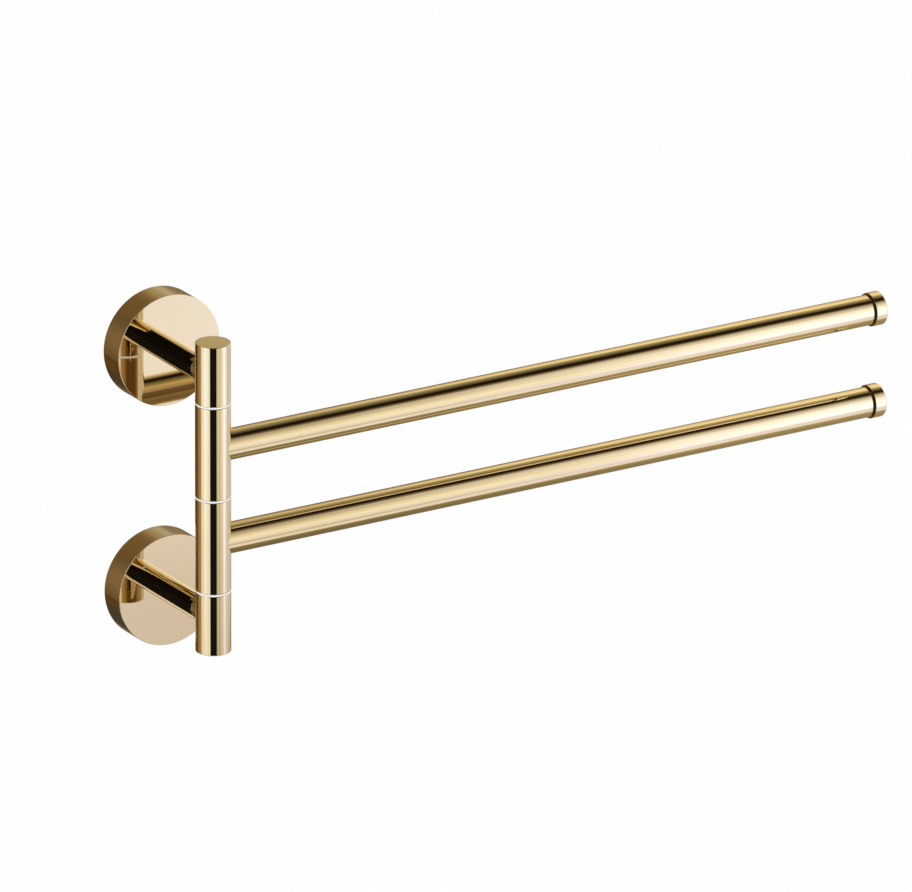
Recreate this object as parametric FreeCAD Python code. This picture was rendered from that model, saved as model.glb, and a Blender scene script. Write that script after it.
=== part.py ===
import FreeCAD, Part
import math
import os

os.makedirs("parts", exist_ok=True)

# Swing arm towel bar, in mm. The wall is the plane y = 0 and the bar stands off it
# towards -Y. The arms point along +X at rest, Z is up, and the origin is the middle
# of the four wall holes, halfway between the two round flanges.

# Pivot column: two fixed knuckles with two turning barrels between them
WALL_TO_COLUMN = 51.5
COLUMN_D = 16.0
KNUCKLE_HEIGHT = 28.2
BARREL_HEIGHT = 43.5
COLUMN_EDGE = 0.3

# Wear washers between the stacked pieces
WASHER_SETBACK = 0.1
WASHER_THICKNESS = 0.8

# Pivot rod, its lock screw and the bushes that the barrels turn on
ROD_D = 8.0
ROD_GRIP = 20.0
ROD_EDGE = 0.5
LOCK_SCREW_D = 5.0
LOCK_SCREW_LENGTH = 14.0
LOCK_HEAD_D = 8.5
LOCK_HEAD_HEIGHT = 4.0
LOCK_SEAT = 3.0
LOCK_RECESS_D = 10.0
BUSH_D = 11.0
BUSH_LENGTH = 10.0
BARREL_RELIEF = 0.5

# Posts that carry the column off the wall
POST_D = 11.2
POST_FROM_COLUMN_END = 16.0
POST_SPIGOT_D = 8.0
POST_SPIGOT_WALL = 0.9
POST_SCREW_D = 5.0
POST_SCREW_LENGTH = 14.0
POST_HEAD_D = 9.0
POST_HEAD_HEIGHT = 2.9
POST_WASHER_D = 12.0
POST_WASHER_THICKNESS = 1.0

# Round flange cups
FLANGE_D = 52.0
FLANGE_DEPTH = 13.5
FLANGE_FACE = 3.0
FLANGE_RIM = 3.7
FLANGE_EDGE = 0.5
FLANGE_BACK_EDGE = 0.3

# Mounting plates hidden in the cups, with a vee groove for the grub screw
PLATE_THICKNESS = 6.0
GROOVE_DEPTH = 1.2
GROOVE_FROM_WALL = 3.0
WALL_HOLE_D = 5.0
WALL_HOLE_SPACING = 28.0
WALL_HOLE_SINK_D = 10.0
GRUB_D = 4.0
GRUB_RECESS = 0.4

# Arms
ARM_REACH = 350.0
ARM_ABOVE_BARREL_MIDDLE = 1.0
ARM_D = 14.0
ARM_WALL = 1.0
CAP_D = 15.5
CAP_LENGTH = 7.0
CAP_EDGE = 0.5
CAP_SPIGOT = 10.0
PLUG_LENGTH = 18.0
STUD_D = 6.0
STUD_FROM_AXIS = 5.0
STUD_IN_PLUG = 14.0

# Hexagon sockets, across the flats
GRUB_SOCKET = 2.0
POST_SOCKET = 3.0
LOCK_SOCKET = 4.0
SOCKET_DEPTH = 1.8
SCREW_EDGE = 0.3

# Clearances
RUNNING_CLEARANCE = 0.05
AXIAL_CLEARANCE = 0.05
SEAT_CLEARANCE = 0.02
CUP_CLEARANCE = 0.3
POINT_CLEARANCE = 0.03
SCREW_HOLE_CLEARANCE = 0.25
CUT_OVERRUN = 1.0

column_r = COLUMN_D / 2
barrel_z = WASHER_THICKNESS / 2 + AXIAL_CLEARANCE + BARREL_HEIGHT / 2
barrel_end_z = barrel_z + BARREL_HEIGHT / 2
knuckle_z = barrel_end_z + AXIAL_CLEARANCE + WASHER_THICKNESS
column_end_z = knuckle_z + KNUCKLE_HEIGHT
post_z = column_end_z - POST_FROM_COLUMN_END
spigot_tip = ROD_D / 2 + SEAT_CLEARANCE + POST_SPIGOT_WALL
plate_r = FLANGE_D / 2 - FLANGE_RIM - CUP_CLEARANCE
cavity_depth = FLANGE_DEPTH - FLANGE_FACE
grub_end_r = FLANGE_D / 2 - GRUB_RECESS

X_AXIS = FreeCAD.Vector(1, 0, 0)
Z_AXIS = FreeCAD.Vector(0, 0, 1)
OUT_OF_WALL = FreeCAD.Vector(0, -1, 0)
INTO_WALL = FreeCAD.Vector(0, 1, 0)
DOWN = FreeCAD.Vector(0, 0, -1)


def column_point(z):
    """Point on the column axis at height z."""
    return FreeCAD.Vector(0, -WALL_TO_COLUMN, z)


def wall_point(z, out=0.0):
    """Point on a post axis at height z, the distance out from the wall."""
    return FreeCAD.Vector(0, -out, z)


def turned(profile, base, direction):
    """Solid of revolution from closed (radius, distance) corners about an axis."""
    corners = [FreeCAD.Vector(r, 0, d) for r, d in profile]
    outline = Part.makePolygon(corners + [corners[0]])
    solid = Part.Face(outline).revolve(FreeCAD.Vector(), Z_AXIS, 360)
    turn = FreeCAD.Rotation(Z_AXIS, direction)
    solid.Placement = FreeCAD.Placement(base, turn)
    return solid


def rod(radius, length, base, direction):
    """Plain cylinder."""
    return Part.makeCylinder(radius, length, base, direction)


def hexagon(flats, depth, base, direction):
    """Hexagonal prism, for cutting a socket."""
    corner_r = flats / math.sqrt(3)
    corners = []
    for step in range(7):
        angle = math.radians(60 * step)
        corners.append(FreeCAD.Vector(corner_r * math.cos(angle), corner_r * math.sin(angle), 0))
    prism = Part.Face(Part.makePolygon(corners)).extrude(FreeCAD.Vector(0, 0, depth))
    prism.Placement = FreeCAD.Placement(base, FreeCAD.Rotation(Z_AXIS, direction))
    return prism


def save(shape, node):
    shape.exportStep("parts/" + node + ".step")


def make_mounting_plate(z):
    """Disc screwed to the wall, with a vee groove round its rim and two sunk holes."""
    plate = turned(
        [
            (0, 0),
            (plate_r, 0),
            (plate_r, GROOVE_FROM_WALL - GROOVE_DEPTH),
            (plate_r - GROOVE_DEPTH, GROOVE_FROM_WALL),
            (plate_r, GROOVE_FROM_WALL + GROOVE_DEPTH),
            (plate_r, PLATE_THICKNESS),
            (0, PLATE_THICKNESS),
        ],
        wall_point(z),
        OUT_OF_WALL,
    )
    hole_r = WALL_HOLE_D / 2
    sink_r = WALL_HOLE_SINK_D / 2
    sink_depth = sink_r - hole_r
    for side in (-1, 1):
        hole = turned(
            [
                (0, -CUT_OVERRUN),
                (hole_r, -CUT_OVERRUN),
                (hole_r, PLATE_THICKNESS - sink_depth),
                (sink_r + CUT_OVERRUN, PLATE_THICKNESS + CUT_OVERRUN),
                (0, PLATE_THICKNESS + CUT_OVERRUN),
            ],
            wall_point(z) + X_AXIS * (side * WALL_HOLE_SPACING / 2),
            OUT_OF_WALL,
        )
        plate = plate.cut(hole)
    return plate


def make_flange(z):
    """Round cup that hides the plate, drilled for the post spigot and the grub screw."""
    outer_r = FLANGE_D / 2
    cavity_r = outer_r - FLANGE_RIM
    hole_r = POST_SPIGOT_D / 2 + SEAT_CLEARANCE
    edge = FLANGE_EDGE
    round_r = edge * (1 - math.sqrt(0.5))
    cup = turned(
        [
            (hole_r, FLANGE_DEPTH),
            (outer_r - edge, FLANGE_DEPTH),
            (outer_r - round_r, FLANGE_DEPTH - round_r),
            (outer_r, FLANGE_DEPTH - edge),
            (outer_r, FLANGE_BACK_EDGE),
            (outer_r - FLANGE_BACK_EDGE, 0),
            (cavity_r, 0),
            (cavity_r, cavity_depth),
            (hole_r, cavity_depth),
        ],
        wall_point(z),
        OUT_OF_WALL,
    )
    grub_hole = rod(
        GRUB_D / 2 + SEAT_CLEARANCE,
        FLANGE_RIM + 2 * CUT_OVERRUN,
        wall_point(z - cavity_r + CUT_OVERRUN, GROOVE_FROM_WALL),
        DOWN,
    )
    return cup.cut(grub_hole)


def make_grub_screw(z):
    """Cone point screw through the underside of the cup into the groove."""
    tip_r = plate_r - GROOVE_DEPTH + POINT_CLEARANCE
    length = grub_end_r - tip_r
    screw_r = GRUB_D / 2
    screw = turned(
        [
            (0, 0),
            (screw_r, screw_r),
            (screw_r, length - SCREW_EDGE),
            (screw_r - SCREW_EDGE, length),
            (0, length),
        ],
        wall_point(z - tip_r, GROOVE_FROM_WALL),
        DOWN,
    )
    socket = hexagon(
        GRUB_SOCKET, SOCKET_DEPTH, wall_point(z - grub_end_r, GROOVE_FROM_WALL), Z_AXIS
    )
    return screw.cut(socket)


def make_post(z):
    """Post with a spigot at each end, coped at the front to sit on the knuckle."""
    body = rod(POST_D / 2, WALL_TO_COLUMN - FLANGE_DEPTH, wall_point(z, FLANGE_DEPTH), OUT_OF_WALL)
    knuckle_space = rod(column_r, 2 * POST_D, column_point(z - POST_D), Z_AXIS)
    spigot_start = FLANGE_DEPTH - FLANGE_FACE + SEAT_CLEARANCE
    spigot = rod(
        POST_SPIGOT_D / 2,
        WALL_TO_COLUMN - spigot_tip - spigot_start,
        wall_point(z, spigot_start),
        OUT_OF_WALL,
    )
    post = body.cut(knuckle_space).fuse(spigot).removeSplitter()
    tapped = turned(
        [
            (0, -CUT_OVERRUN),
            (POST_SCREW_D / 2 + SEAT_CLEARANCE, -CUT_OVERRUN),
            (POST_SCREW_D / 2 + SEAT_CLEARANCE, POST_SCREW_LENGTH),
            (0, POST_SCREW_LENGTH + POST_SCREW_D / 4),
        ],
        wall_point(z, spigot_start),
        OUT_OF_WALL,
    )
    return post.cut(tapped)


def make_post_screw(z):
    """Low headed screw that draws the post onto the cup from inside."""
    head_r = POST_HEAD_D / 2
    screw_r = POST_SCREW_D / 2
    head_start = cavity_depth - POST_WASHER_THICKNESS - POST_HEAD_HEIGHT
    screw = turned(
        [
            (0, 0),
            (head_r - SCREW_EDGE, 0),
            (head_r, SCREW_EDGE),
            (head_r, POST_HEAD_HEIGHT),
            (screw_r, POST_HEAD_HEIGHT),
            (screw_r, POST_HEAD_HEIGHT + POST_SCREW_LENGTH - SCREW_EDGE),
            (screw_r - SCREW_EDGE, POST_HEAD_HEIGHT + POST_SCREW_LENGTH),
            (0, POST_HEAD_HEIGHT + POST_SCREW_LENGTH),
        ],
        wall_point(z, head_start),
        OUT_OF_WALL,
    )
    return screw.cut(hexagon(POST_SOCKET, SOCKET_DEPTH, wall_point(z, head_start), OUT_OF_WALL))


def make_ring(outer_d, inner_r, thickness, base, direction):
    """Flat washer or plain bush."""
    outer_r = outer_d / 2
    return turned(
        [(inner_r, 0), (outer_r, 0), (outer_r, thickness), (inner_r, thickness)],
        base,
        direction,
    )


def drill_for_post(knuckle, z):
    """Side hole that takes the post spigot."""
    hole = rod(
        POST_SPIGOT_D / 2 + SEAT_CLEARANCE,
        column_r,
        wall_point(z, WALL_TO_COLUMN - spigot_tip + SEAT_CLEARANCE),
        INTO_WALL,
    )
    return knuckle.cut(hole)


def make_upper_knuckle():
    """Top of the column, bored from below for the rod, with a plain flat top."""
    bore_r = ROD_D / 2 + SEAT_CLEARANCE
    knuckle = turned(
        [
            (bore_r, knuckle_z),
            (column_r - COLUMN_EDGE, knuckle_z),
            (column_r, knuckle_z + COLUMN_EDGE),
            (column_r, column_end_z - COLUMN_EDGE),
            (column_r - COLUMN_EDGE, column_end_z),
            (0, column_end_z),
            (0, knuckle_z + ROD_GRIP + AXIAL_CLEARANCE),
            (bore_r, knuckle_z + ROD_GRIP + AXIAL_CLEARANCE),
        ],
        column_point(0),
        Z_AXIS,
    )
    return drill_for_post(knuckle, post_z)


def make_lower_knuckle():
    """Foot of the column, bored through, with a recess below for the lock screw."""
    bore_r = ROD_D / 2 + SEAT_CLEARANCE
    hole_r = LOCK_SCREW_D / 2 + SCREW_HOLE_CLEARANCE
    recess_r = LOCK_RECESS_D / 2
    shelf_z = -knuckle_z - ROD_GRIP
    knuckle = turned(
        [
            (bore_r, -knuckle_z),
            (column_r - COLUMN_EDGE, -knuckle_z),
            (column_r, -knuckle_z - COLUMN_EDGE),
            (column_r, -column_end_z + COLUMN_EDGE),
            (column_r - COLUMN_EDGE, -column_end_z),
            (recess_r, -column_end_z),
            (recess_r, shelf_z - LOCK_SEAT),
            (hole_r, shelf_z - LOCK_SEAT),
            (hole_r, shelf_z),
            (bore_r, shelf_z),
        ],
        column_point(0),
        Z_AXIS,
    )
    return drill_for_post(knuckle, -post_z)


def make_pivot_rod():
    """Steel rod through the whole stack, tapped at its foot."""
    end_z = knuckle_z + ROD_GRIP
    rod_r = ROD_D / 2
    tap_r = LOCK_SCREW_D / 2 + SEAT_CLEARANCE
    return turned(
        [
            (tap_r, -end_z),
            (rod_r - ROD_EDGE, -end_z),
            (rod_r, -end_z + ROD_EDGE),
            (rod_r, end_z - ROD_EDGE),
            (rod_r - ROD_EDGE, end_z),
            (0, end_z),
            (0, -end_z + LOCK_SCREW_LENGTH),
            (tap_r, -end_z + LOCK_SCREW_LENGTH),
        ],
        column_point(0),
        Z_AXIS,
    )


def make_lock_screw():
    """Screw from below that pulls the rod down and keeps the stack together."""
    seat_z = -knuckle_z - ROD_GRIP - LOCK_SEAT
    head_r = LOCK_HEAD_D / 2
    screw_r = LOCK_SCREW_D / 2
    tip_z = seat_z + LOCK_SCREW_LENGTH
    screw = turned(
        [
            (0, seat_z - LOCK_HEAD_HEIGHT),
            (head_r - SCREW_EDGE, seat_z - LOCK_HEAD_HEIGHT),
            (head_r, seat_z - LOCK_HEAD_HEIGHT + SCREW_EDGE),
            (head_r, seat_z),
            (screw_r, seat_z),
            (screw_r, tip_z - SCREW_EDGE),
            (screw_r - SCREW_EDGE, tip_z),
            (0, tip_z),
        ],
        column_point(0),
        Z_AXIS,
    )
    return screw.cut(hexagon(LOCK_SOCKET, SOCKET_DEPTH, column_point(seat_z - LOCK_HEAD_HEIGHT), Z_AXIS))


def make_barrel(z):
    """Turning sleeve, counterbored at both ends for its bushes."""
    bush_r = BUSH_D / 2
    relief_r = ROD_D / 2 + BARREL_RELIEF
    half = BARREL_HEIGHT / 2
    barrel = turned(
        [
            (bush_r, -half),
            (column_r - COLUMN_EDGE, -half),
            (column_r, -half + COLUMN_EDGE),
            (column_r, half - COLUMN_EDGE),
            (column_r - COLUMN_EDGE, half),
            (bush_r, half),
            (bush_r, half - BUSH_LENGTH),
            (relief_r, half - BUSH_LENGTH),
            (relief_r, -half + BUSH_LENGTH),
            (bush_r, -half + BUSH_LENGTH),
        ],
        column_point(z),
        Z_AXIS,
    )
    stud_hole = rod(
        STUD_D / 2 + SEAT_CLEARANCE,
        column_r,
        column_point(z + ARM_ABOVE_BARREL_MIDDLE),
        X_AXIS,
    )
    return barrel.cut(stud_hole)


def barrel_space(z):
    """Room the barrel takes, for coping whatever butts onto it."""
    return rod(column_r, 2 * ARM_D, column_point(z - ARM_D), Z_AXIS)


def make_arm_stud(z):
    """Threaded stud from the barrel wall into the plug of the arm."""
    stud_r = STUD_D / 2
    length = column_r - STUD_FROM_AXIS + STUD_IN_PLUG
    return turned(
        [
            (0, 0),
            (stud_r - SCREW_EDGE, 0),
            (stud_r, SCREW_EDGE),
            (stud_r, length - SCREW_EDGE),
            (stud_r - SCREW_EDGE, length),
            (0, length),
        ],
        column_point(z) + X_AXIS * STUD_FROM_AXIS,
        X_AXIS,
    )


def make_arm_plug(z):
    """Tapped plug fixed in the inner end of the tube."""
    plug_r = ARM_D / 2 - ARM_WALL - SEAT_CLEARANCE
    plug = make_ring(
        2 * plug_r,
        STUD_D / 2 + SEAT_CLEARANCE,
        column_r + PLUG_LENGTH,
        column_point(z),
        X_AXIS,
    )
    return plug.cut(barrel_space(z))


def make_arm_tube(z):
    """Tube coped at its inner end to sit on the barrel."""
    tube = make_ring(
        ARM_D, ARM_D / 2 - ARM_WALL, ARM_REACH - CAP_LENGTH, column_point(z), X_AXIS
    )
    return tube.cut(barrel_space(z))


def make_end_cap(z):
    """Cap a little larger than the tube, on a spigot."""
    cap_r = CAP_D / 2
    spigot_r = ARM_D / 2 - ARM_WALL - SEAT_CLEARANCE
    return turned(
        [
            (0, -CAP_SPIGOT),
            (spigot_r - SCREW_EDGE, -CAP_SPIGOT),
            (spigot_r, -CAP_SPIGOT + SCREW_EDGE),
            (spigot_r, 0),
            (cap_r - CAP_EDGE / 2, 0),
            (cap_r, CAP_EDGE / 2),
            (cap_r, CAP_LENGTH - CAP_EDGE),
            (cap_r - CAP_EDGE / 3, CAP_LENGTH - CAP_EDGE / 3),
            (cap_r - CAP_EDGE, CAP_LENGTH),
            (0, CAP_LENGTH),
        ],
        column_point(z) + X_AXIS * (ARM_REACH - CAP_LENGTH),
        X_AXIS,
    )


for name, z in (("upper", post_z), ("lower", -post_z)):
    save(make_mounting_plate(z), name + "_mounting_plate")
    save(make_flange(z), name + "_flange")
    save(make_grub_screw(z), name + "_grub_screw")
    save(make_post(z), name + "_post")
    save(make_post_screw(z), name + "_post_screw")
    post_washer = make_ring(
        POST_WASHER_D,
        POST_SCREW_D / 2 + SCREW_HOLE_CLEARANCE,
        POST_WASHER_THICKNESS,
        wall_point(z, cavity_depth - POST_WASHER_THICKNESS),
        OUT_OF_WALL,
    )
    save(post_washer, name + "_post_washer")

save(make_upper_knuckle(), "upper_knuckle")
save(make_lower_knuckle(), "lower_knuckle")
save(make_pivot_rod(), "pivot_rod")
save(make_lock_screw(), "pivot_lock_screw")

for name, z in (
    ("top_wear_washer", barrel_end_z + AXIAL_CLEARANCE),
    ("middle_wear_washer", -WASHER_THICKNESS / 2),
    ("bottom_wear_washer", -knuckle_z),
):
    wear_washer = make_ring(
        COLUMN_D - 2 * WASHER_SETBACK,
        ROD_D / 2 + RUNNING_CLEARANCE,
        WASHER_THICKNESS,
        column_point(z),
        Z_AXIS,
    )
    save(wear_washer, name)

for name, z in (("upper_arm", barrel_z), ("lower_arm", -barrel_z)):
    arm_z = z + ARM_ABOVE_BARREL_MIDDLE
    save(make_barrel(z), name + "_barrel")
    for end, bush_z in (("top", z + BARREL_HEIGHT / 2 - BUSH_LENGTH), ("bottom", z - BARREL_HEIGHT / 2)):
        bush = make_ring(
            BUSH_D - 2 * SEAT_CLEARANCE,
            ROD_D / 2 + RUNNING_CLEARANCE,
            BUSH_LENGTH,
            column_point(bush_z),
            Z_AXIS,
        )
        save(bush, name + "_" + end + "_bush")
    save(make_arm_stud(arm_z), name + "_stud")
    save(make_arm_plug(arm_z), name + "_plug")
    save(make_arm_tube(arm_z), name + "_tube")
    save(make_end_cap(arm_z), name + "_end_cap")
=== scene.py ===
import math

import bmesh
import bpy
from mathutils import Matrix, Vector


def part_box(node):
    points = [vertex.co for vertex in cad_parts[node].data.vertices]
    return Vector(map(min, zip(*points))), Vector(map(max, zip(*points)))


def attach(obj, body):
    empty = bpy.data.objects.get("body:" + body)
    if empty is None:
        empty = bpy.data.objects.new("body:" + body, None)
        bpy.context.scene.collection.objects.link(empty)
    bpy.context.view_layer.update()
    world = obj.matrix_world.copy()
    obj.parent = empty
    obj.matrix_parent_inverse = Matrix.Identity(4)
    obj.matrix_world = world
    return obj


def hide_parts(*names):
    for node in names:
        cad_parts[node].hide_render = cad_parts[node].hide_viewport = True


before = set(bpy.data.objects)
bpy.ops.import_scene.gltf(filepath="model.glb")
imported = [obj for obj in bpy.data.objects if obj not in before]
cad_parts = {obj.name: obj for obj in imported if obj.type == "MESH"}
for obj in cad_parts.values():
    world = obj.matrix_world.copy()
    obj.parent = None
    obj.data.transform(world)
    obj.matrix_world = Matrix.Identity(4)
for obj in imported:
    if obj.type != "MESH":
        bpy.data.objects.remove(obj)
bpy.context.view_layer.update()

# Swing arm towel bar, in metres, in the part's own frame: the wall is the plane y = 0, the
# bar stands off it towards -Y, the arms point along +X at rest, and Z is up.
MM = 0.001
OUT_OF_WALL = (0, -1, 0)
UP = (0, 0, 1)
ALONG_ARM = (1, 0, 0)

# Fineness of the meshes, and what counts as on a face or rim and as well away from it
TURNED_STEPS = 192
DRILL_STEPS = 48
MERGE_DISTANCE = 0.002 * MM
SHARP_ANGLE = math.radians(40)
NEAR = 0.1 * MM
WELL_CLEAR = 1 * MM

# Sizes that the boxes of the solids don't give. The walls, bores and seats are the same as
# in the part's source. The finest edges and the trim at the arms' caps are drawn only here.
FLANGE_RIM = 3.7 * MM
FLANGE_FACE = 3.0 * MM
FLANGE_FRONT_EDGE = 0.22 * MM
FLANGE_BACK_EDGE = 0.3 * MM
SPIGOT_HOLE_R = 4.02 * MM
GRUB_HOLE_R = 2.02 * MM
GRUB_DRILL_ABOVE = 4 * MM
GRUB_DRILL_LENGTH = 10 * MM
POST_SPIGOT_R = 4.0 * MM
POST_SPIGOT_SHORTER = 0.2 * MM
COLUMN_EDGE = 0.3 * MM
ROD_BORE_R = 4.02 * MM
UPPER_BORE_DEPTH = 20.05 * MM
LOWER_BORE_DEPTH = 20.0 * MM
LOCK_SEAT = 3.0 * MM
LOCK_HOLE_R = 2.75 * MM
LOCK_RECESS_R = 5.0 * MM
LOCK_RECESS_EDGE = 0.25 * MM
BUSH_BORE_R = 5.5 * MM
WASHER_BORE_R = 4.05 * MM
WASHER_EDGE = 0.12 * MM
ARM_WALL = 1.0 * MM
CAP_SPIGOT_R = 5.98 * MM
CAP_EDGE = 0.5 * MM
CAP_GROOVE = 1.3 * MM
CAP_GROOVE_EDGE = 0.08 * MM
CAP_NECK_R = 5.0 * MM
CAP_NECK_INSIDE = 0.5 * MM
# A dark ring of painted shade fills each cap's groove, where there is only shadow.
SHADE_RING_INNER_R = 5.02 * MM
SHADE_RING_OUTER_R = 6.35 * MM
SHADE_RING_CLEARANCE = 0.02 * MM
SHADE_RING_EDGE = 0.3 * MM

# Where the camera stood for the photograph, in degrees and metres, found by fitting the
# column, arms and flanges to their edges in it. The view is close to a long telephoto.
VIEW_AZIMUTH = -31.41
VIEW_ELEVATION = 20.66
VIEW_ROLL = 0.2
VIEW_DISTANCE = 7.9936
VIEW_RIGHT_OF_COLUMN = 0.10768
VIEW_ABOVE_COLUMN_MIDDLE = 0.02238
LENS_MM = 711.8
SENSOR_MM = 36.0

# The studio round the bar. Its cards stand just clear of the floor.
FLOOR_Z = -1.0
FLOOR_HALF_SIDE = 14
FLOOR_PALENESS = 0.95
FLOOR_WHITE_SHARE = 0.92
CARD_FOOT = -0.98
LAMP_TARGET = (0.1, -0.05, 0)


# ---------------------------------------------------------------- measures from the frame

def extent(node):
    """Size of a node's box along X, Y and Z."""
    return [high - low for low, high in zip(*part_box(node))]


def centre(node):
    """Middle of a node's box."""
    low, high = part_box(node)
    return (Vector(low) + Vector(high)) / 2


pivot = centre("pivot_rod")
COLUMN_R = extent("upper_knuckle")[0] / 2


# ---------------------------------------------------------------- colour and shader nodes

def linear(code):
    """Linear RGBA from an sRGB hex value."""
    channels = []
    for start in (1, 3, 5):
        value = int(code[start:start + 2], 16) / 255
        channels.append(value / 12.92 if value <= 0.04045 else ((value + 0.055) / 1.055) ** 2.4)
    return (*channels, 1.0)


def grey(level):
    """Linear RGBA of a grey."""
    return (level, level, level, 1.0)


def add(tree, kind, settings=None, **inputs):
    """Adds a shader node, sets its properties, and fills or links its inputs.

    An input goes by its name, or by an underscore and its number.
    """
    node = tree.nodes.new(kind)
    for name, value in (settings or {}).items():
        setattr(node, name, value)
    for name, value in inputs.items():
        number = name.removeprefix("_")
        socket = node.inputs[int(number) if number.isdigit() else name.replace("_", " ")]
        if isinstance(value, bpy.types.NodeSocket):
            tree.links.new(value, socket)
        else:
            socket.default_value = value
    return node


def set_stops(ramp, stops):
    """Sets a colour ramp's stops from (position, linear colour) pairs."""
    elements = ramp.color_ramp.elements
    while len(elements) < len(stops):
        elements.new(0.5)
    for element, (position, colour) in zip(elements, stops):
        element.position = position
        element.color = colour


def blank_material(name):
    """A new material and its empty node tree."""
    material = bpy.data.materials.new(name)
    material.use_nodes = True
    material.node_tree.nodes.clear()
    return material, material.node_tree


# ---------------------------------------------------------------- finishes

def polished_gold(name, grain_mm, tones):
    """Gold PVD over mirror polished brass: a pale warm gold that mirrors the room.

    The mop leaves hair-fine lines, drawn coarser than life so that they show at all, and
    handling leaves faint hazy patches a few centimetres across.
    """
    material, tree = blank_material(name)
    place = add(tree, "ShaderNodeTexCoord").outputs["Object"]
    hair = add(tree, "ShaderNodeMapping", Vector=place,
               Scale=tuple(1 / (size * MM) for size in grain_mm))
    lines = add(tree, "ShaderNodeTexNoise", Vector=hair.outputs[0], Scale=1.0, Detail=3.0,
                Roughness=0.6)
    haze = add(tree, "ShaderNodeTexNoise", Vector=place, Scale=1 / (28 * MM), Detail=4.0,
               Roughness=0.55)
    tone = add(tree, "ShaderNodeTexNoise", Vector=place, Scale=1 / (60 * MM), Detail=2.0,
               Roughness=0.5)
    colour = add(tree, "ShaderNodeValToRGB", Fac=tone.outputs["Fac"])
    set_stops(colour, [(0.3, linear(tones[0])), (0.7, linear(tones[1]))])
    rough_haze = add(tree, "ShaderNodeMapRange", Value=haze.outputs["Fac"], From_Min=0.35,
                     From_Max=0.75, To_Min=0.018, To_Max=0.032)
    rough = add(tree, "ShaderNodeMath", {"operation": "MULTIPLY_ADD"}, _0=lines.outputs["Fac"],
                _1=0.008, _2=rough_haze.outputs[0])
    bump = add(tree, "ShaderNodeBump", Strength=0.05, Distance=0.006 * MM,
               Height=lines.outputs["Fac"])
    surface = add(tree, "ShaderNodeBsdfPrincipled", Base_Color=colour.outputs[0], Metallic=1.0,
                  Roughness=rough.outputs[0], Normal=bump.outputs[0])
    add(tree, "ShaderNodeOutputMaterial", Surface=surface.outputs[0])
    return material


def machined_brass(name):
    """Unplated machined brass: yellower than the gold, satin, with fine tool marks.

    A wave of 4 mm scale repeats about three times in that, so the marks are 1.3 mm apart,
    coarser than life so that they show.
    """
    material, tree = blank_material(name)
    place = add(tree, "ShaderNodeTexCoord").outputs["Object"]
    marks = add(tree, "ShaderNodeTexWave", {"wave_type": "BANDS", "bands_direction": "X"},
                Vector=place, Scale=1 / (4 * MM), Distortion=0.6, Detail=2.0)
    tarnish = add(tree, "ShaderNodeTexNoise", Vector=place, Scale=1 / (6 * MM), Detail=3.0)
    colour = add(tree, "ShaderNodeValToRGB", Fac=tarnish.outputs["Fac"])
    set_stops(colour, [(0.3, linear("#C9A45C")), (0.75, linear("#B58E48"))])
    rough = add(tree, "ShaderNodeMapRange", Value=marks.outputs["Fac"], To_Min=0.26, To_Max=0.4)
    bump = add(tree, "ShaderNodeBump", Strength=0.4, Distance=0.02 * MM,
               Height=marks.outputs["Fac"])
    surface = add(tree, "ShaderNodeBsdfPrincipled", Base_Color=colour.outputs[0], Metallic=1.0,
                  Roughness=rough.outputs[0], Normal=bump.outputs[0])
    add(tree, "ShaderNodeOutputMaterial", Surface=surface.outputs[0])
    return material


def turned_stainless(name):
    """Turned stainless steel: neutral grey with fine rings left by the lathe.

    They are 0.9 mm apart, coarser than life so that they show.
    """
    material, tree = blank_material(name)
    place = add(tree, "ShaderNodeTexCoord").outputs["Object"]
    rings = add(tree, "ShaderNodeTexWave", {"wave_type": "BANDS", "bands_direction": "Z"},
                Vector=place, Scale=1 / (3 * MM), Distortion=0.4, Detail=2.0)
    stain = add(tree, "ShaderNodeTexNoise", Vector=place, Scale=1 / (5 * MM), Detail=3.0)
    colour = add(tree, "ShaderNodeValToRGB", Fac=stain.outputs["Fac"])
    set_stops(colour, [(0.3, linear("#C9C8C5")), (0.75, linear("#B9B8B5"))])
    rough = add(tree, "ShaderNodeMapRange", Value=rings.outputs["Fac"], To_Min=0.2, To_Max=0.34)
    bump = add(tree, "ShaderNodeBump", Strength=0.35, Distance=0.01 * MM,
               Height=rings.outputs["Fac"])
    surface = add(tree, "ShaderNodeBsdfPrincipled", Base_Color=colour.outputs[0], Metallic=1.0,
                  Roughness=rough.outputs[0], Normal=bump.outputs[0])
    add(tree, "ShaderNodeOutputMaterial", Surface=surface.outputs[0])
    return material


def zinc_plated_steel(name):
    """Bright zinc plate on pressed steel: cool pale grey, cloudy, a little rough."""
    material, tree = blank_material(name)
    place = add(tree, "ShaderNodeTexCoord").outputs["Object"]
    cloud = add(tree, "ShaderNodeTexNoise", Vector=place, Scale=1 / (7 * MM), Detail=5.0,
                Roughness=0.65)
    grain = add(tree, "ShaderNodeTexNoise", Vector=place, Scale=1 / (0.5 * MM), Detail=2.0)
    colour = add(tree, "ShaderNodeValToRGB", Fac=cloud.outputs["Fac"])
    set_stops(colour, [(0.3, linear("#B9BEC4")), (0.7, linear("#D3D6D8"))])
    rough = add(tree, "ShaderNodeMapRange", Value=cloud.outputs["Fac"], To_Min=0.28, To_Max=0.48)
    bump = add(tree, "ShaderNodeBump", Strength=0.3, Distance=0.03 * MM,
               Height=grain.outputs["Fac"])
    surface = add(tree, "ShaderNodeBsdfPrincipled", Base_Color=colour.outputs[0], Metallic=1.0,
                  Roughness=rough.outputs[0], Normal=bump.outputs[0])
    add(tree, "ShaderNodeOutputMaterial", Surface=surface.outputs[0])
    return material


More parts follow.
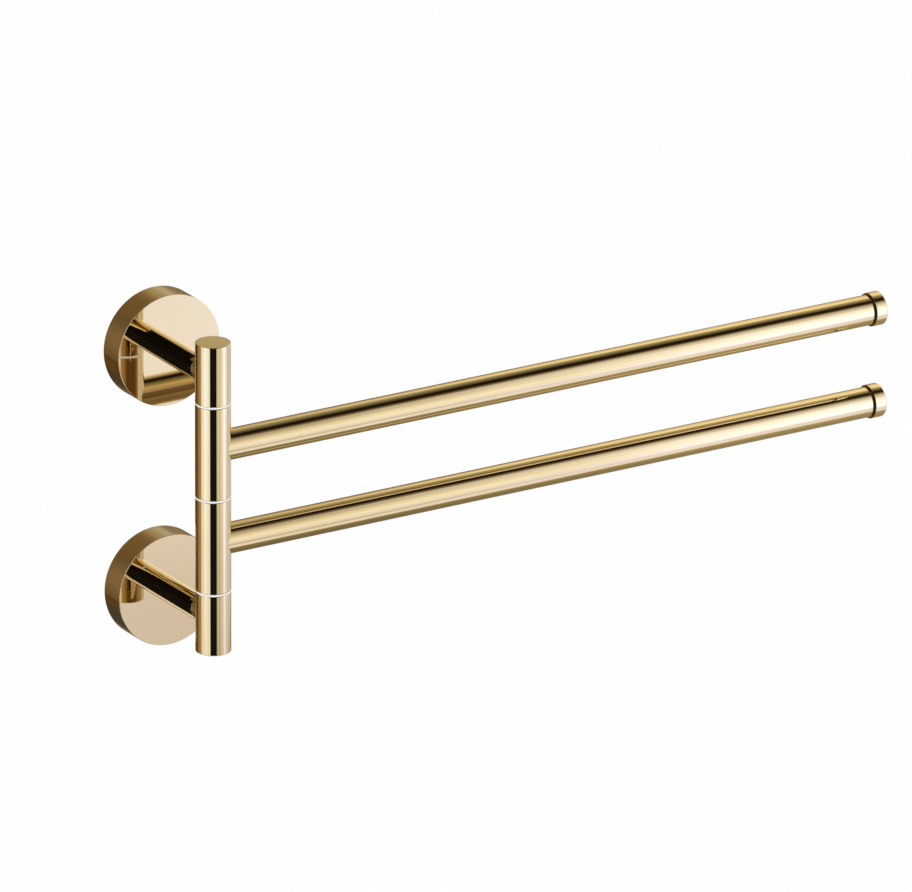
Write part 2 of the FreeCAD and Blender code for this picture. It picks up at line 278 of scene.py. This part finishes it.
def moulded_nylon(name):
    """Natural white nylon, moulded: milky, softly glossy, with a very fine mottle."""
    material, tree = blank_material(name)
    place = add(tree, "ShaderNodeTexCoord").outputs["Object"]
    mottle = add(tree, "ShaderNodeTexNoise", Vector=place, Scale=1 / (1.5 * MM), Detail=3.0)
    colour = add(tree, "ShaderNodeValToRGB", Fac=mottle.outputs["Fac"])
    set_stops(colour, [(0.3, linear("#F4F2EC")), (0.7, linear("#FBFAF6"))])
    rough = add(tree, "ShaderNodeMapRange", Value=mottle.outputs["Fac"], To_Min=0.36, To_Max=0.5)
    bump = add(tree, "ShaderNodeBump", Strength=0.3, Distance=0.02 * MM,
               Height=mottle.outputs["Fac"])
    surface = add(tree, "ShaderNodeBsdfPrincipled", Base_Color=colour.outputs[0], IOR=1.53,
                  Roughness=rough.outputs[0], Normal=bump.outputs[0])
    add(tree, "ShaderNodeOutputMaterial", Surface=surface.outputs[0])
    return material


def painted_shade_ring_finish(name):
    """Dark brown, nearly matt, with a soft bloom and a very fine grain: painted shade for the ring
    in the caps' grooves.
    """
    material, tree = blank_material(name)
    place = add(tree, "ShaderNodeTexCoord").outputs["Object"]
    bloom = add(tree, "ShaderNodeTexNoise", Vector=place, Scale=1 / (3 * MM), Detail=3.0)
    grain = add(tree, "ShaderNodeTexNoise", Vector=place, Scale=1 / (0.3 * MM), Detail=2.0)
    colour = add(tree, "ShaderNodeValToRGB", Fac=bloom.outputs["Fac"])
    set_stops(colour, [(0.3, linear("#35260F")), (0.7, linear("#433117"))])
    rough = add(tree, "ShaderNodeMapRange", Value=bloom.outputs["Fac"], To_Min=0.5, To_Max=0.65)
    bump = add(tree, "ShaderNodeBump", Strength=0.3, Distance=0.02 * MM,
               Height=grain.outputs["Fac"])
    surface = add(tree, "ShaderNodeBsdfPrincipled", Base_Color=colour.outputs[0], IOR=1.52,
                  Roughness=rough.outputs[0], Normal=bump.outputs[0])
    add(tree, "ShaderNodeOutputMaterial", Surface=surface.outputs[0])
    return material


# The grain, in mm along X, Y and Z, is long along the mop's stroke: round the turned pieces
# and lengthwise on the arms. The flanges get a paler copy of the same gold: painted light, for the
# brighter reflection on their faces.
GOLD = ("#E7D5AE", "#EBDBB8")
PAINTED_LIGHT_GOLD = ("#EDDDBE", "#F1E3C7")
gold_column = polished_gold("pvd_gold_polished_column", (18, 18, 0.5), GOLD)
gold_arm = polished_gold("pvd_gold_polished_arm", (30, 0.6, 0.6), GOLD)
gold_post = polished_gold("pvd_gold_polished_post", (12, 0.5, 12), GOLD)
gold_flange_painted_light = polished_gold("pvd_gold_flange_painted_light", (14, 0.6, 14), PAINTED_LIGHT_GOLD)
brass = machined_brass("machined_brass")
steel = turned_stainless("turned_stainless_steel")
zinc = zinc_plated_steel("zinc_plated_steel")
nylon = moulded_nylon("moulded_white_nylon")
# The dark finish of the ring in the caps' grooves is painted shade.
painted_shade_ring_material = painted_shade_ring_finish("painted_shade_ring")


# ---------------------------------------------------------------- ways to shape a piece

def mesh_from(work, name):
    """Ends the bmesh and gives its shape as a mesh."""
    mesh = bpy.data.meshes.new(name)
    work.to_mesh(mesh)
    work.free()
    return mesh


def link_new(name, data):
    """A new object in the scene, at the origin."""
    made = bpy.data.objects.new(name, data)
    bpy.context.scene.collection.objects.link(made)
    return made


def finish_piece(work, name, material, body, node):
    """Makes the piece on its body, smooth with crisp corners, in place of its CAD node."""
    bmesh.ops.remove_doubles(work, verts=work.verts, dist=MERGE_DISTANCE)
    bmesh.ops.recalc_face_normals(work, faces=work.faces)
    for face in work.faces:
        face.smooth = True
    for edge in work.edges:
        if len(edge.link_faces) == 2 and edge.calc_face_angle(0.0) > SHARP_ANGLE:
            edge.smooth = False
    piece = link_new(name, mesh_from(work, name))
    piece.data.materials.append(material)
    weigh = piece.modifiers.new("weighted_normals", "WEIGHTED_NORMAL")
    weigh.keep_sharp = True
    weigh.weight = 100
    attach(piece, body)
    if node:
        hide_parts(node)


def turned(corners, closed=True):
    """Spins an outline of (radius, distance) corners about Z.

    A closed outline makes a ring. An open one starts and ends on the axis.
    """
    work = bmesh.new()
    verts = [work.verts.new((r, 0, d)) for r, d in corners]
    edges = [work.edges.new(pair) for pair in zip(verts, verts[1:])]
    if closed:
        edges.append(work.edges.new((verts[-1], verts[0])))
    bmesh.ops.spin(work, geom=verts + edges, cent=(0, 0, 0), axis=(0, 0, 1), angle=math.tau,
                   steps=TURNED_STEPS, use_merge=True)
    bmesh.ops.remove_doubles(work, verts=work.verts, dist=MERGE_DISTANCE)
    bmesh.ops.recalc_face_normals(work, faces=work.faces)
    return work


def ease_rims(work, width, chosen, segments=3):
    """Rounds the sharp rims that chosen(middle of the edge) picks."""
    rims = [
        edge for edge in work.edges
        if len(edge.link_faces) == 2
        and edge.calc_face_angle(0.0) > SHARP_ANGLE
        and chosen((edge.verts[0].co + edge.verts[1].co) / 2)
    ]
    bmesh.ops.bevel(work, geom=rims, offset=width, offset_type="OFFSET", affect="EDGES",
                    segments=segments, profile=0.5, material=-1, clamp_overlap=True)


def ease_column_rims(work):
    """Eases a column piece's outer rims, so that each joint shows a fine shadow."""
    ease_rims(work, COLUMN_EDGE, lambda at: at.xy.length > COLUMN_R - NEAR)


def set_in_place(work, base, direction):
    """Turns the work from Z to a direction and moves it to its place."""
    turn = Vector((0, 0, 1)).rotation_difference(Vector(direction)).to_matrix().to_4x4()
    bmesh.ops.transform(work, matrix=Matrix.Translation(base) @ turn, verts=work.verts)


def set_on_column(work, node):
    """Stands a piece of the column on the pivot's axis, at its node's height."""
    set_in_place(work, (pivot.x, pivot.y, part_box(node)[0][2]), UP)


def drilled(work, hole_r, top, length):
    """The work with a round hole drilled straight down through it from a point."""
    drill = bmesh.new()
    bmesh.ops.create_cone(drill, cap_ends=True, segments=DRILL_STEPS, radius1=hole_r,
                          radius2=hole_r, depth=length,
                          matrix=Matrix.Translation(top - Vector((0, 0, length / 2))))
    blank = link_new("blank", mesh_from(work, "blank"))
    tool = link_new("drill", mesh_from(drill, "drill"))
    cut = blank.modifiers.new("drill", "BOOLEAN")
    cut.operation = "DIFFERENCE"
    cut.solver = "EXACT"
    cut.object = tool
    graph = bpy.context.evaluated_depsgraph_get()
    result = bpy.data.meshes.new_from_object(blank.evaluated_get(graph))
    drilled_work = bmesh.new()
    drilled_work.from_mesh(result)
    # The blank and the drill go with their meshes
    for mesh in (result, blank.data, tool.data):
        bpy.data.meshes.remove(mesh)
    return drilled_work


# ---------------------------------------------------------------- the bracket

def make_flange(side):
    """Cup with a bright eased front edge, open at the back, drilled below for its grub screw."""
    node = side + "_flange"
    width, depth, _ = extent(node)
    outer_r = width / 2
    cavity_r = outer_r - FLANGE_RIM
    cavity_depth = depth - FLANGE_FACE
    work = turned([
        (SPIGOT_HOLE_R, depth),
        (outer_r, depth),
        (outer_r, 0),
        (cavity_r, 0),
        (cavity_r, cavity_depth),
        (SPIGOT_HOLE_R, cavity_depth),
    ])
    ease_rims(work, FLANGE_FRONT_EDGE,
              lambda at: at.z > depth - NEAR and at.xy.length > SPIGOT_HOLE_R + WELL_CLEAR, 4)
    ease_rims(work, FLANGE_BACK_EDGE,
              lambda at: at.z < NEAR and at.xy.length > cavity_r + WELL_CLEAR, 2)
    set_in_place(work, (0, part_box(node)[1][1], centre(node).z), OUT_OF_WALL)
    drill_top = centre(side + "_grub_screw") + Vector((0, 0, GRUB_DRILL_ABOVE))
    work = drilled(work, GRUB_HOLE_R, drill_top, GRUB_DRILL_LENGTH)
    # The flange's gold is the paler copy of the same gold, painted light.
    finish_piece(work, side + "_flange_cup", gold_flange_painted_light, "bracket", node)


def make_post(side):
    """Solid post coped onto the knuckle, with its spigot running on into it."""
    node = side + "_post"
    post_r = extent(node)[0] / 2
    spigot_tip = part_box(node)[0][1] + POST_SPIGOT_SHORTER
    flange_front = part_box(side + "_flange")[0][1]
    work = bmesh.new()
    start = bmesh.ops.create_circle(work, cap_ends=True, segments=TURNED_STEPS, radius=post_r)
    turn = Matrix.Rotation(math.radians(90), 4, "X")
    bmesh.ops.transform(work, matrix=Matrix.Translation((0, flange_front, centre(node).z)) @ turn,
                        verts=start["verts"])
    grown = bmesh.ops.extrude_face_region(work, geom=list(work.faces))
    front = [item for item in grown["geom"] if isinstance(item, bmesh.types.BMFace)]
    for vert in [item for item in grown["geom"] if isinstance(item, bmesh.types.BMVert)]:
        vert.co.y = pivot.y + math.sqrt(COLUMN_R ** 2 - (vert.co.x - pivot.x) ** 2)
    bmesh.ops.inset_region(work, faces=front, thickness=post_r - POST_SPIGOT_R)
    for vert in {vert for face in front for vert in face.verts}:
        vert.co.y = spigot_tip
    finish_piece(work, side + "_post_bar", gold_post, "bracket", node)


def make_upper_knuckle():
    """Top of the column: bored from below, with a plain flat top."""
    node = "upper_knuckle"
    height = extent(node)[2]
    work = turned([
        (0, height),
        (COLUMN_R, height),
        (COLUMN_R, 0),
        (ROD_BORE_R, 0),
        (ROD_BORE_R, UPPER_BORE_DEPTH),
        (0, UPPER_BORE_DEPTH),
    ], closed=False)
    ease_column_rims(work)
    set_on_column(work, node)
    finish_piece(work, "upper_knuckle_turned", gold_column, "bracket", node)


def make_lower_knuckle():
    """Foot of the column: bored through, with the lock screw's recess below."""
    node = "lower_knuckle"
    height = extent(node)[2]
    shelf = height - LOWER_BORE_DEPTH
    work = turned([
        (ROD_BORE_R, height),
        (COLUMN_R, height),
        (COLUMN_R, 0),
        (LOCK_RECESS_R, 0),
        (LOCK_RECESS_R, shelf - LOCK_SEAT),
        (LOCK_HOLE_R, shelf - LOCK_SEAT),
        (LOCK_HOLE_R, shelf),
        (ROD_BORE_R, shelf),
    ])
    ease_column_rims(work)
    ease_rims(work, LOCK_RECESS_EDGE,
              lambda at: at.z < NEAR and at.xy.length < LOCK_RECESS_R + NEAR, 2)
    set_on_column(work, node)
    finish_piece(work, "lower_knuckle_turned", gold_column, "bracket", node)


def make_washer(node):
    """White wear ring between two pieces of the column."""
    width, _, height = extent(node)
    outer_r = width / 2
    work = turned([(WASHER_BORE_R, 0), (outer_r, 0), (outer_r, height), (WASHER_BORE_R, height)])
    ease_rims(work, WASHER_EDGE, lambda at: at.xy.length > outer_r - NEAR, 2)
    set_on_column(work, node)
    finish_piece(work, node + "_ring", nylon, "bracket", node)


# ---------------------------------------------------------------- the arms

def make_barrel(arm):
    """Turning sleeve of the column, bored for its bushes."""
    node = arm + "_barrel"
    height = extent(node)[2]
    work = turned([(BUSH_BORE_R, 0), (COLUMN_R, 0), (COLUMN_R, height), (BUSH_BORE_R, height)])
    ease_column_rims(work)
    set_on_column(work, node)
    finish_piece(work, arm + "_barrel_sleeve", gold_column, arm, node)


def make_tube(arm):
    """Drawn tube coped at its inner end to sit round the barrel."""
    node = arm + "_tube"
    outer_r = extent(node)[2] / 2
    inner_r = outer_r - ARM_WALL
    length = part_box(node)[1][0] - pivot.x
    work = turned([(inner_r, COLUMN_R), (outer_r, COLUMN_R), (outer_r, length), (inner_r, length)])
    set_in_place(work, (pivot.x, pivot.y, centre(node).z), ALONG_ARM)
    for vert in work.verts:
        if vert.co.x < pivot.x + COLUMN_R + WELL_CLEAR:
            vert.co.x = pivot.x + math.sqrt(COLUMN_R ** 2 - (vert.co.y - pivot.y) ** 2)
    finish_piece(work, arm + "_bar", gold_arm, arm, node)


def make_end_cap(arm):
    """Plain cap a little larger than the tube, with a groove at the joint that holds a dark ring
    of painted shade.
    """
    node = arm + "_end_cap"
    cap_r = extent(node)[2] / 2
    tube_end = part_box(arm + "_tube")[1][0]
    spigot_end, cap_end = (corner[0] - tube_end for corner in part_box(node))
    work = turned([
        (0, spigot_end),
        (CAP_SPIGOT_R, spigot_end),
        (CAP_SPIGOT_R, -CAP_NECK_INSIDE),
        (CAP_NECK_R, -CAP_NECK_INSIDE),
        (CAP_NECK_R, CAP_GROOVE),
        (cap_r, CAP_GROOVE),
        (cap_r, cap_end),
        (0, cap_end),
    ], closed=False)
    ease_rims(work, CAP_GROOVE_EDGE,
              lambda at: abs(at.z - CAP_GROOVE) < NEAR and at.xy.length > CAP_NECK_R + NEAR, 2)
    ease_rims(work, CAP_EDGE, lambda at: at.z > CAP_GROOVE + WELL_CLEAR, 4)
    set_in_place(work, (tube_end, pivot.y, centre(node).z), ALONG_ARM)
    finish_piece(work, arm + "_cap", gold_arm, arm, node)


def make_cap_shade_ring(arm):
    """Dark ring of painted shade in the groove between the tube and its cap, a little below their
    surface.
    """
    near_end = SHADE_RING_CLEARANCE
    far_end = CAP_GROOVE - SHADE_RING_CLEARANCE
    work = turned([(SHADE_RING_INNER_R, near_end), (SHADE_RING_OUTER_R, near_end), (SHADE_RING_OUTER_R, far_end),
                   (SHADE_RING_INNER_R, far_end)])
    ease_rims(work, SHADE_RING_EDGE, lambda at: at.xy.length > SHADE_RING_OUTER_R - NEAR)
    tube_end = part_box(arm + "_tube")[1][0]
    set_in_place(work, (tube_end, pivot.y, centre(arm + "_end_cap").z), ALONG_ARM)
    finish_piece(work, arm + "_cap_shade_ring", painted_shade_ring_material, arm, None)


for side in ("upper", "lower"):
    make_flange(side)
    make_post(side)
make_upper_knuckle()
make_lower_knuckle()
for washer in ("top_wear_washer", "middle_wear_washer", "bottom_wear_washer"):
    make_washer(washer)
for arm in ("upper_arm", "lower_arm"):
    make_barrel(arm)
    make_tube(arm)
    make_end_cap(arm)
    # The dark ring in each cap's groove is painted shade.
    make_cap_shade_ring(arm)


# ---------------------------------------------------------------- finishes of the CAD nodes

# Words in the nodes' names, and what such a piece is made of. The rest is gold.
NODE_FINISHES = (
    ("mounting_plate", zinc),
    ("screw", steel),
    ("stud", steel),
    ("pivot_rod", steel),
    ("post_washer", steel),
    ("bush", nylon),
    ("wear_washer", nylon),
    ("plug", brass),
)

for name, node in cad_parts.items():
    finish = next((finish for word, finish in NODE_FINISHES if word in name), gold_column)
    node.data.materials.clear()
    node.data.materials.append(finish)


# ---------------------------------------------------------------- room, seen only in the polish

EVEN = ((0, 1), (1, 1))
WHITE = ((0, "#FFFFFF"), (1, "#FFFFFF"))
THIN_FADE = (0.02, 0.02)


def card_glow(name, peak, across=EVEN, upward=EVEN, edges=(0.04, 0.04), tints=WHITE,
              side_tints=WHITE):
    """Glow of a studio card.

    Its brightness runs across it and up it, from 0 to 1 of its side, and so does its colour,
    by side_tints and tints. It fades out over a share of its size at the edges.
    """
    material, tree = blank_material(name)
    place = add(tree, "ShaderNodeTexCoord").outputs["Object"]
    place_on = add(tree, "ShaderNodeSeparateXYZ", Vector=place)
    levels = []
    colours = []
    masks = []
    for output, stops, tint_stops, edge in (("X", across, side_tints, edges[0]),
                                            ("Y", upward, tints, edges[1])):
        at = add(tree, "ShaderNodeMath", {"operation": "ADD"}, _0=place_on.outputs[output], _1=0.5)
        ramp = add(tree, "ShaderNodeValToRGB", Fac=at.outputs[0])
        ramp.color_ramp.interpolation = "EASE"
        set_stops(ramp, [(position, grey(level)) for position, level in stops])
        levels.append(ramp.outputs[0])
        tint = add(tree, "ShaderNodeValToRGB", Fac=at.outputs[0])
        set_stops(tint, [(position, linear(code)) for position, code in tint_stops])
        colours.append(tint.outputs[0])
        off = add(tree, "ShaderNodeMath", {"operation": "ABSOLUTE"}, _0=place_on.outputs[output])
        mask = add(tree, "ShaderNodeMapRange", {"interpolation_type": "SMOOTHSTEP"},
                   Value=off.outputs[0], From_Min=0.5, From_Max=0.5 - edge, To_Min=0.0,
                   To_Max=1.0)
        masks.append(mask.outputs[0])
    level = add(tree, "ShaderNodeMath", {"operation": "MULTIPLY"}, _0=levels[0], _1=levels[1])
    mask = add(tree, "ShaderNodeMath", {"operation": "MULTIPLY"}, _0=masks[0], _1=masks[1])
    strength = add(tree, "ShaderNodeMath", {"operation": "MULTIPLY"}, _0=level.outputs[0], _1=peak)
    colour = add(tree, "ShaderNodeVectorMath", {"operation": "MULTIPLY"}, _0=colours[0],
                 _1=colours[1])
    glow = add(tree, "ShaderNodeEmission", Color=colour.outputs[0], Strength=strength.outputs[0])
    clear = add(tree, "ShaderNodeBsdfTransparent")
    both = add(tree, "ShaderNodeMixShader", Fac=mask.outputs[0], _1=clear.outputs[0],
               _2=glow.outputs[0])
    add(tree, "ShaderNodeOutputMaterial", Surface=both.outputs[0])
    return material


def panel(name, middle, wide, tall, **look):
    """A studio card that only reflections see, from its middle and its two sides."""
    middle, wide, tall = Vector(middle), Vector(wide), Vector(tall)
    work = bmesh.new()
    bmesh.ops.create_grid(work, x_segments=1, y_segments=1, size=0.5)
    card = link_new(name, mesh_from(work, name))
    card.data.materials.append(card_glow(name, **look))
    facing = wide.cross(tall).normalized()
    card.matrix_world = Matrix((
        (wide.x, tall.x, facing.x, middle.x),
        (wide.y, tall.y, facing.y, middle.y),
        (wide.z, tall.z, facing.z, middle.z),
        (0, 0, 0, 1),
    ))
    card.visible_camera = False
    card.visible_diffuse = False
    card.visible_shadow = False
    card.visible_transmission = False


def standing(name, azimuths, heights, distance, **look):
    """An upright card between two azimuths in degrees, seen from the origin."""
    low, high = heights
    middle = math.radians(sum(azimuths) / 2)
    half = math.radians(abs(azimuths[1] - azimuths[0]) / 2)
    toward = Vector((math.sin(middle), -math.cos(middle), 0))
    side = Vector((math.cos(middle), math.sin(middle), 0))
    panel(name, toward * distance + Vector((0, 0, (low + high) / 2)),
          side * (2 * distance * math.tan(half)), Vector((0, 0, high - low)), **look)


# The black stripe down the column and on the posts: the dark room round the camera
standing("dark_side_card", (-48, -6.5), (CARD_FOOT, 0.1), 1.3, peak=0.01, edges=(0.012, 0.03))
standing("dark_upper_card", (-54, 35), (-0.06, 1.3), 1.28, peak=0.5,
         across=((0.72, 0.015), (0.95, 1.0)), upward=((0, 1), (1, 0.8)), edges=(0.04, 0.05),
         tints=((0, "#FFF0CC"), (1, "#F2E0AE")))
# The tan stripe next to it, below the horizon
standing("warm_card", (-6.5, 21), (CARD_FOOT, -0.02), 1.31, peak=0.9,
         upward=((0.12, 0.04), (0.36, 0.58), (0.58, 0.88), (0.7, 0.95)), edges=(0.015, 0.03),
         tints=((0.15, "#F2F6D6"), (0.55, "#FFF9E4")))
# Bright softbox to the left
standing("left_softbox", (-104, -56), (CARD_FOOT, 1.0), 1.32, peak=1.5,
         across=((0, 0.75), (0.5, 1.0), (1, 0.88)), upward=((0.17, 0.78), (0.28, 1)),
         edges=(0.1, 0.1), tints=((0.15, "#FAF4EC"), (0.3, "#E6EDFF")))
# Bright softbox to the right front, brightest where the far half of the arms mirrors it
standing("right_softbox", (21, 66), (CARD_FOOT, 1.45), 1.32, peak=1.9,
         across=((0.2, 0.56), (0.3, 0.58), (0.47, 1.0), (0.62, 0.95), (0.86, 0.68)),
         upward=((0.15, 0.73), (0.225, 1.03), (0.42, 1.05), (0.58, 0.87), (0.74, 0.58),
                 (0.92, 0.3)),
         edges=(0.03, 0.03),
         tints=((0.17, "#F9F2F2"), (0.24, "#F3F5FF"), (0.4, "#FFFEFA"), (0.75, "#FFF4D8")),
         side_tints=((0.3, "#FFFDF8"), (0.42, "#E4E9FF")))
# Low grey card to the right and behind
standing("right_back_card", (68, 132), (CARD_FOOT, 0.0), 1.45, peak=0.85, edges=(0.08, 0.06),
         tints=((0, "#E6E8F0"), (1, "#EEEEF2")))
# The brown of the flange rims: a dim brown room behind on the left, lighter on the right
panel("back_left_card", (-0.45, 1.36, 0.2), (3.3, 0, 0), (0, 0, 2.4), peak=0.22,
      across=((0.3, 0.75), (0.6, 1)), upward=((0.2, 0.6), (0.45, 0.65), (0.62, 0.85)),
      edges=THIN_FADE, tints=((0, "#FFC070"), (1, "#FFCE84")))
panel("back_right_card", (1.4, 1.34, 0.2), (2.8, 0, 0), (0, 0, 2.4), peak=1.15,
      across=((0.1, 0.23), (0.22, 0.35), (0.31, 0.46), (0.41, 0.98)),
      upward=((0.2, 0.34), (0.5, 0.38), (0.68, 1.0)), edges=(0.2, 0.02),
      tints=((0.2, "#FFC87E"), (0.66, "#FFF0CC"), (0.72, "#FFE8B4"), (0.8, "#FFDC9A")),
      side_tints=((0.33, "#FFFFFF"), (0.42, "#E8EEFF")))
standing("left_back_card", (-158, -108), (CARD_FOOT, 1.2), 1.5, peak=0.5,
         across=((0, 0.3), (0.2, 0.32), (0.4, 0.6), (0.7, 0.88), (1, 1)), edges=(0.1, 0.02),
         tints=((0, "#FFD28E"), (1, "#FFD28E")))
# Soft light in the middle of the back wall, which only views from behind find in the polish
panel("back_middle_card", (0.0, 1.3, 0.22), (1.2, 0, 0), (0, 0, 1.05), peak=0.95,
      edges=(0.35, 0.35), tints=((0, "#FFF8EC"), (1, "#FFF8EC")))
# The dark line along the top of the arms: a dark beam overhead. Above it, in the gold line,
# a dim ceiling towards the back. Both are brighter towards the arms' ends.
TOWARDS_ENDS = ((0.53, 0.43), (0.58, 0.5), (0.61, 0.68), (0.645, 1))
panel("overhead_beam", (0.7, -0.125, 1.2), (3.2, 0, 0), (0, 1.75, 0), peak=1.15,
      across=TOWARDS_ENDS,
      upward=((0.03, 0.8), (0.10, 0.5), (0.24, 0.13), (0.32, 0.03), (0.47, 0.03), (0.62, 0.29),
              (0.78, 0.6), (0.97, 0.85)),
      edges=THIN_FADE,
      tints=((0, "#F4DDB4"), (0.4, "#FFCE92"), (0.7, "#F6E8AC"), (1, "#FFF0B8")))
panel("ceiling_card", (0.7, 1.3, 1.25), (3.2, 0, 0), (0, 1.2, 0), peak=1.3,
      across=TOWARDS_ENDS, edges=THIN_FADE, tints=((0, "#FFF0B8"), (1, "#FBF4D8")),
      side_tints=((0.59, "#FFFFFF"), (0.64, "#F4F6FF")))
# The brown line along the underside of the arms
panel("under_card", (0.5, 0.3, -0.62), (2.0, 0, 0), (0, 1.6, 0), peak=0.62,
      across=((0.3, 0.2), (0.42, 0.58), (0.62, 1)), upward=((0, 1), (0.4, 0.7)),
      edges=(0.12, 0.12), tints=((0, "#EBD7A8"), (1, "#E6CD9C")))


# ---------------------------------------------------------------- floor, background and lamps

def light_path_share(tree):
    """One for camera, glossy and transmission rays, nought for the rest."""
    rays = add(tree, "ShaderNodeLightPath")
    some = add(tree, "ShaderNodeMath", {"operation": "ADD"}, _0=rays.outputs["Is Camera Ray"],
               _1=rays.outputs["Is Glossy Ray"])
    every = add(tree, "ShaderNodeMath", {"operation": "ADD", "use_clamp": True},
                _0=some.outputs[0], _1=rays.outputs["Is Transmission Ray"])
    return every.outputs[0]


def make_floor():
    """Pale matt floor well below the bar, drawn white to the eye but still shaded."""
    work = bmesh.new()
    bmesh.ops.create_grid(work, x_segments=1, y_segments=1, size=FLOOR_HALF_SIDE)
    floor = link_new("floor", mesh_from(work, "floor"))
    floor.location.z = FLOOR_Z
    material, tree = blank_material("matt_white_floor")
    matt = add(tree, "ShaderNodeBsdfDiffuse", Color=grey(FLOOR_PALENESS))
    white = add(tree, "ShaderNodeEmission", Color=grey(1.0), Strength=1.0)
    share = add(tree, "ShaderNodeMath", {"operation": "MULTIPLY"}, _0=light_path_share(tree),
                _1=FLOOR_WHITE_SHARE)
    lit = add(tree, "ShaderNodeMixShader", Fac=share.outputs[0], _1=matt.outputs[0],
              _2=white.outputs[0])
    # From below the floor is clear, so that the bar can be looked at from there
    clear = add(tree, "ShaderNodeBsdfTransparent")
    below = add(tree, "ShaderNodeNewGeometry").outputs["Backfacing"]
    seen = add(tree, "ShaderNodeMixShader", Fac=below, _1=lit.outputs[0], _2=clear.outputs[0])
    add(tree, "ShaderNodeOutputMaterial", Surface=seen.outputs[0])
    floor.data.materials.append(material)


def make_background():
    """White surround, a little softer as a light than it looks."""
    world = bpy.data.worlds.new("studio")
    bpy.context.scene.world = world
    world.use_nodes = True
    tree = world.node_tree
    tree.nodes.clear()
    soft = add(tree, "ShaderNodeBackground", Color=grey(1.0), Strength=0.9)
    white = add(tree, "ShaderNodeBackground", Color=grey(1.0), Strength=1.0)
    both = add(tree, "ShaderNodeMixShader", Fac=light_path_share(tree), _1=soft.outputs[0],
               _2=white.outputs[0])
    add(tree, "ShaderNodeOutputWorld", Surface=both.outputs[0])


def area_lamp(name, at, size, power):
    """Soft studio lamp for the matt surfaces. The cards stand in for it in the polish."""
    data = bpy.data.lights.new(name, "AREA")
    data.shape = "SQUARE"
    data.size = size
    data.energy = power
    lamp = link_new(name, data)
    lamp.location = at
    lamp.rotation_euler = (Vector(LAMP_TARGET) - Vector(at)).to_track_quat("-Z", "Y").to_euler()
    lamp.visible_glossy = False


make_floor()
make_background()
area_lamp("key_lamp", at=(-1.2, -1.4, 1.5), size=1.0, power=9)
area_lamp("fill_lamp", at=(1.6, -1.2, 0.9), size=1.2, power=5)


# ---------------------------------------------------------------- camera

def make_camera():
    """Telephoto camera at the photograph's angle."""
    azimuth = math.radians(VIEW_AZIMUTH)
    elevation = math.radians(VIEW_ELEVATION)
    roll = math.radians(VIEW_ROLL)
    back = Vector((math.sin(azimuth) * math.cos(elevation),
                   -math.cos(azimuth) * math.cos(elevation), math.sin(elevation)))
    right = Vector((math.cos(azimuth), math.sin(azimuth), 0))
    up = back.cross(right)
    right_rolled = right * math.cos(roll) + up * math.sin(roll)
    up_rolled = up * math.cos(roll) - right * math.sin(roll)
    aim = (Vector((pivot.x, pivot.y, 0)) + right_rolled * VIEW_RIGHT_OF_COLUMN
           + up_rolled * VIEW_ABOVE_COLUMN_MIDDLE)
    data = bpy.data.cameras.new("photo_camera")
    data.lens = LENS_MM
    data.sensor_width = SENSOR_MM
    camera = link_new("photo_camera", data)
    turn = Matrix((right_rolled, up_rolled, back)).transposed().to_4x4()
    camera.matrix_world = Matrix.Translation(aim + back * VIEW_DISTANCE) @ turn
    bpy.context.scene.camera = camera


make_camera()
bpy.context.scene.view_settings.view_transform = "Standard"
